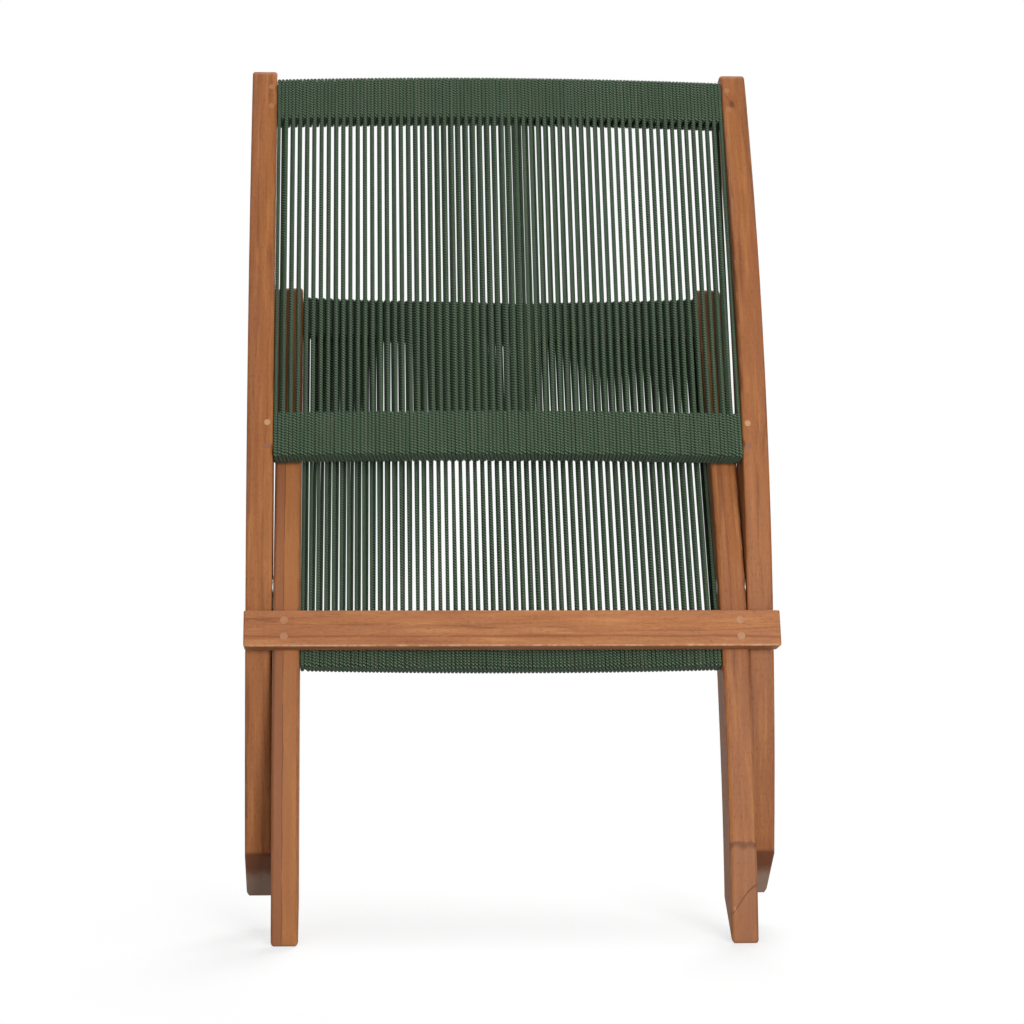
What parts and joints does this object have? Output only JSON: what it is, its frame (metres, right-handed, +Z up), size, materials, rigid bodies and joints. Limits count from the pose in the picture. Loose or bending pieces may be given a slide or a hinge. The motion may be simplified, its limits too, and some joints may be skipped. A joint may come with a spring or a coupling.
{
  "type": "folding lounge chair",
  "caption": "Folding lounge chair of crossed curved hardwood frames, with wound cord seat and back panels and a stop bar, shown folded.",
  "frame": {"origin": "bottom centre of the folded chair's box, under the tips of the seat rails' feet", "axes": "+X across the chair to the right seen from behind, +Y to the sitter's side, +Z up the folded frames"},
  "size_m": [0.56, 0.2303, 0.9463],
  "materials": {
    "oiled_hardwood": "oiled, satin",
    "peg_wood": "oiled, satin",
    "green_cord": "braided, matt",
    "steel": "zinc plated"
  },
  "bodies": {
    "pivot_hardware": {"pivot_bolt_left": "steel", "pivot_bolt_right": "steel", "pivot_barrel_nut_left": "steel", "pivot_barrel_nut_right": "steel", "pivot_head_washers": "steel", "pivot_spacer_washers": "steel"},
    "back_frame": {"back_rail_left": "oiled_hardwood", "back_rail_right": "oiled_hardwood", "back_top_slat": "oiled_hardwood", "back_lower_slat": "oiled_hardwood", "back_cord": "green_cord", "back_pegs_left": "peg_wood", "back_pegs_right": "peg_wood"},
    "seat_frame": {"seat_rail_left": "oiled_hardwood", "seat_rail_right": "oiled_hardwood", "seat_front_slat": "oiled_hardwood", "seat_rear_slat": "oiled_hardwood", "seat_cord": "green_cord", "seat_pegs_left": "peg_wood", "seat_pegs_right": "peg_wood", "cross_bar": "oiled_hardwood", "cross_bar_screws_left": "steel", "cross_bar_screws_right": "steel", "cross_bar_plugs_left": "peg_wood", "cross_bar_plugs_right": "peg_wood"}
  },
  "joints": [
    {"name": "back_fold", "type": "hinge", "parent": "pivot_hardware", "child": "back_frame", "pos_m": [0, -0.03496, 0.36318], "axis": [1, 0, 0], "range_deg": [0, 51]},
    {"name": "seat_fold", "type": "hinge", "parent": "pivot_hardware", "child": "seat_frame", "pos_m": [0, -0.03496, 0.36318], "axis": [1, 0, 0], "range_deg": [-46, 0]}
  ],
  "couplings": [
    {"joint": "seat_fold", "follows": "back_fold", "ratio": -0.90196}
  ]
}
